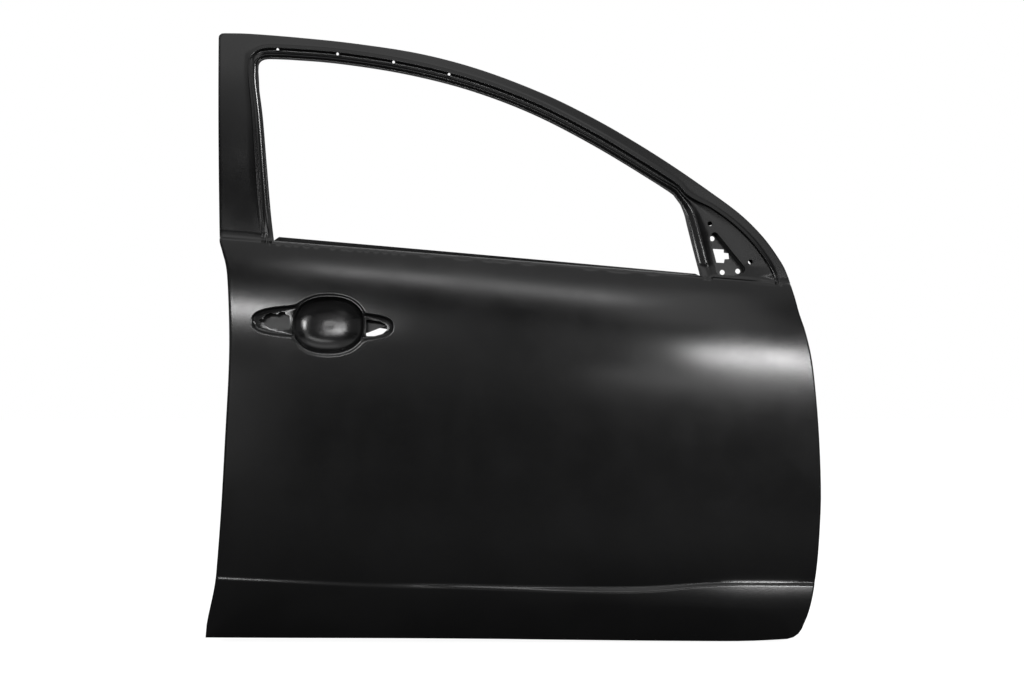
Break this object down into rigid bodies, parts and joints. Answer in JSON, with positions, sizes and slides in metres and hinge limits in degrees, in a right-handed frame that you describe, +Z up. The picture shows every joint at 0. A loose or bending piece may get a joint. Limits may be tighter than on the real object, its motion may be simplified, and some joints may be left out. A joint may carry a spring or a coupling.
{
  "type": "car door shell",
  "caption": "Bare front-door shell of a car: pressed outer skin with handle recess and window frame, hemmed onto a deep inner panel with a side-impact beam.",
  "frame": {"origin": "centre of the upper hinge seat on the outside of the door's front wall", "axes": "+X forward along the car, +Y inboard towards the cabin, +Z up; the outer skin faces -Y"},
  "size_m": [1.0874, 0.2108, 1.0898],
  "materials": {
    "black_e_coat": "semi-gloss black primer",
    "black_e_coat_inside": "satin black primer",
    "mastic": "matt"
  },
  "bodies": {
    "root": {"anti_flutter_pad_1": "mastic", "anti_flutter_pad_2": "mastic", "anti_flutter_pad_3": "mastic", "belt_rail_inner": "black_e_coat_inside", "belt_rail_outer": "black_e_coat_inside", "check_strap_plate": "black_e_coat_inside", "glass_channel_front": "black_e_coat_inside", "glass_channel_header": "black_e_coat_inside", "glass_channel_lower_front": "black_e_coat_inside", "glass_channel_lower_rear": "black_e_coat_inside", "glass_channel_rear": "black_e_coat_inside", "handle_bracket": "black_e_coat_inside", "hinge_nut_1": "black_e_coat_inside", "hinge_nut_2": "black_e_coat_inside", "hinge_nut_3": "black_e_coat_inside", "hinge_nut_4": "black_e_coat_inside", "hinge_reinforcement_lower": "black_e_coat_inside", "hinge_reinforcement_upper": "black_e_coat_inside", "impact_beam": "black_e_coat_inside", "impact_beam_bracket_front": "black_e_coat_inside", "impact_beam_bracket_rear": "black_e_coat_inside", "inner_panel": "black_e_coat", "latch_reinforcement": "black_e_coat_inside", "mirror_bracket": "black_e_coat_inside", "mirror_nut_1": "black_e_coat_inside", "mirror_nut_2": "black_e_coat_inside", "mirror_nut_3": "black_e_coat_inside", "outer_skin": "black_e_coat"}
  },
  "joints": []
}
